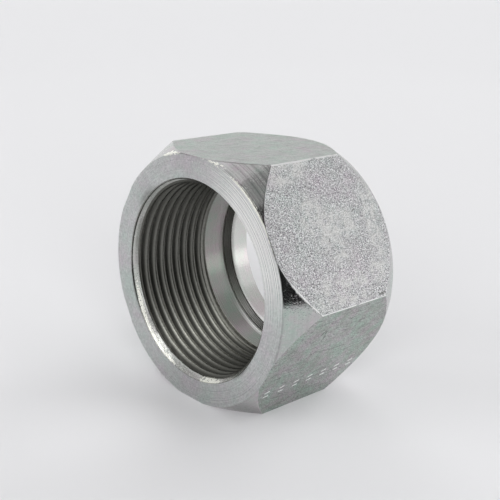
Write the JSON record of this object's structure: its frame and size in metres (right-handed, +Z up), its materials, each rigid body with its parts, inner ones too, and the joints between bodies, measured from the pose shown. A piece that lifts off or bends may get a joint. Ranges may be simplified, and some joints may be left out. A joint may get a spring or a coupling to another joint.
{
  "type": "tube nut",
  "caption": "Hexagon tube nut with a threaded mouth, a conical seat and a smooth sleeve bore, for a flared tube coupling.",
  "frame": {"origin": "on the axis of the bore, halfway along the nut", "axes": "+Y along the bore axis from the threaded mouth to the sleeve end, +Z up from the flat the nut lies on to the flat opposite, X across the corners"},
  "size_m": [0.0586, 0.0316, 0.0508],
  "materials": {
    "plated_steel": "bright zinc plate over turned and drawn steel, fine turning marks, frosted in places"
  },
  "bodies": {
    "root": {"tube_nut": "plated_steel"}
  },
  "joints": []
}
